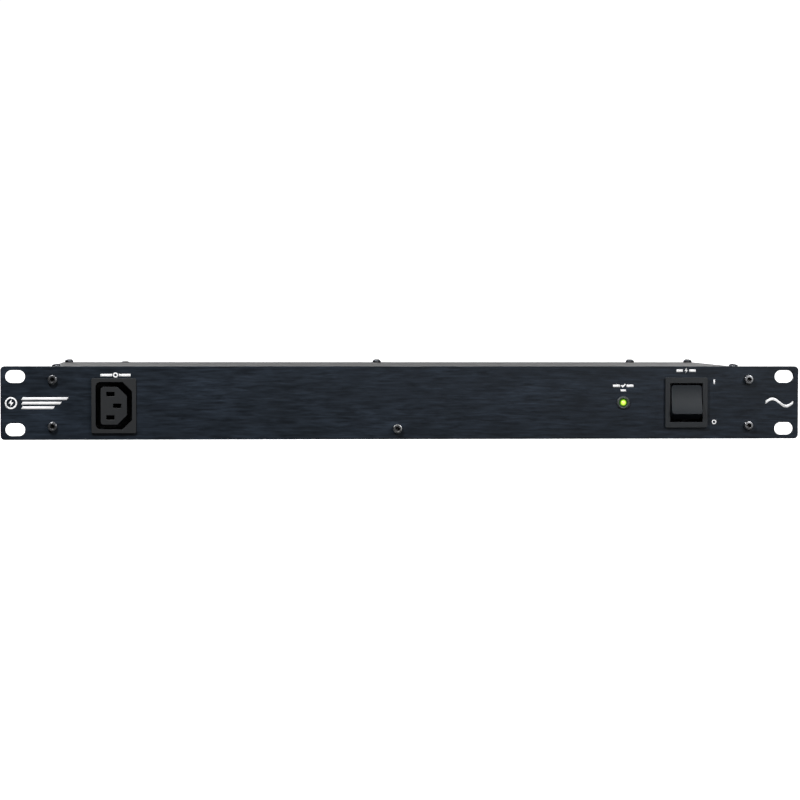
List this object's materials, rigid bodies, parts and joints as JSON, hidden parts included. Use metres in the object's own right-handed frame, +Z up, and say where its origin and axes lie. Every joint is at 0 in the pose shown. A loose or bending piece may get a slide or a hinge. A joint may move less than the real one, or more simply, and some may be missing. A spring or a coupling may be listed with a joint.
{
  "type": "rack power strip",
  "caption": "One-unit rack power strip: brushed front panel with an outlet, status lamp and rocker switch on a shallow steel chassis with outlets, an inlet and a breaker at the back.",
  "frame": {"origin": "centre of the rack slot pattern, on the front panel's rear face, which bears on the rack rails", "axes": "+X to the right seen from the front, +Y from the front panel into the rack, +Z up"},
  "size_m": [0.4826, 0.221, 0.0448],
  "materials": {
    "panel_black": "fine horizontal brushing under black anodising",
    "panel_ink": "white screen-printed ink",
    "sheet_black": "fine black powder coat",
    "screw_black": "black oxide",
    "screw_bright": "bright nickel plate",
    "zinc_steel": "zinc plate",
    "spring_steel": "drawn spring wire",
    "outlet_plastic": "fine moulded texture",
    "inlet_plastic": "fine moulded texture",
    "switch_plastic": "satin moulded",
    "rocker_plastic": "satin moulded",
    "lamp_bezel_plastic": "smooth moulded",
    "lamp_lens": "lit yellow-green lamp",
    "brass": "stamped brass",
    "copper": "stamped copper",
    "tinned_brass": "nickel-plated blades",
    "button_white": "smooth moulded",
    "nylon": "natural nylon",
    "board_green": "solder mask on glass laminate",
    "varistor_blue": "epoxy dip",
    "capacitor_yellow": "moulded box",
    "ferrite": "coated ferrite",
    "enamel_copper": "enamelled wire",
    "sleeve_red": "vinyl sleeve",
    "wire_brown": "vinyl insulation",
    "wire_blue": "vinyl insulation",
    "wire_green": "vinyl insulation",
    "lead_grey": "vinyl insulation"
  },
  "bodies": {
    "chassis": {"front_panel": "panel_black", "panel_legend": "panel_ink", "chassis_base": "sheet_black", "rear_panel": "sheet_black", "top_cover": "sheet_black", "panel_side_screws": "screw_black", "panel_lower_screw": "screw_bright", "chassis_screws": "screw_black", "cover_low_head_screw": "screw_black", "clinch_nuts": "zinc_steel", "front_outlet": "outlet_plastic", "front_outlet_contacts": "brass", "rear_outlet_01": "outlet_plastic", "rear_outlet_02": "outlet_plastic", "rear_outlet_03": "outlet_plastic", "rear_outlet_04": "outlet_plastic", "rear_outlet_05": "outlet_plastic", "rear_outlet_06": "outlet_plastic", "rear_outlet_07": "outlet_plastic", "rear_outlet_08": "outlet_plastic", "rear_outlet_09": "outlet_plastic", "rear_outlet_10": "outlet_plastic", "rear_live_contacts": "brass", "rear_neutral_contacts": "brass", "rear_earth_contacts": "brass", "live_busbar": "copper", "neutral_busbar": "copper", "earth_busbar": "copper", "inlet_housing": "inlet_plastic", "inlet_pins": "tinned_brass", "inlet_screws": "screw_black", "breaker_body": "inlet_plastic", "breaker_nut": "zinc_steel", "breaker_spring": "spring_steel", "breaker_terminals": "brass", "switch_housing": "switch_plastic", "switch_terminals": "brass", "lamp_bezel": "lamp_bezel_plastic", "lamp": "lamp_lens", "lamp_clip": "lamp_bezel_plastic", "filter_board": "board_green", "board_standoffs": "zinc_steel", "board_screws": "screw_bright", "varistors": "varistor_blue", "filter_capacitors": "capacitor_yellow", "choke_core": "ferrite", "choke_windings": "enamel_copper", "board_tabs": "tinned_brass", "earth_stud": "zinc_steel", "ring_terminals": "tinned_brass", "terminal_sleeves": "sleeve_red", "live_wires": "wire_brown", "neutral_wires": "wire_blue", "earth_wires": "wire_green", "lamp_leads": "lead_grey"},
    "rocker": {"switch_rocker": "rocker_plastic", "switch_plungers": "nylon", "switch_springs": "spring_steel"},
    "contact_levers": {"switch_levers": "brass"},
    "reset_button": {"breaker_button": "button_white"}
  },
  "joints": [
    {"name": "rocker_tilt", "type": "hinge", "parent": "chassis", "child": "rocker", "pos_m": [0.172, 0.0008, 0], "axis": [1, 0, 0], "range_deg": [0, 27]},
    {"name": "lever_tilt", "type": "hinge", "parent": "chassis", "child": "contact_levers", "pos_m": [0.172, 0.0111, 0], "axis": [1, 0, 0], "range_deg": [-12, 0]},
    {"name": "reset_slide", "type": "slide", "parent": "chassis", "child": "reset_button", "axis": [0, 1, 0], "range_m": [0, 0.003]}
  ],
  "couplings": [
    {"joint": "lever_tilt", "follows": "rocker_tilt", "ratio": -0.444}
  ]
}
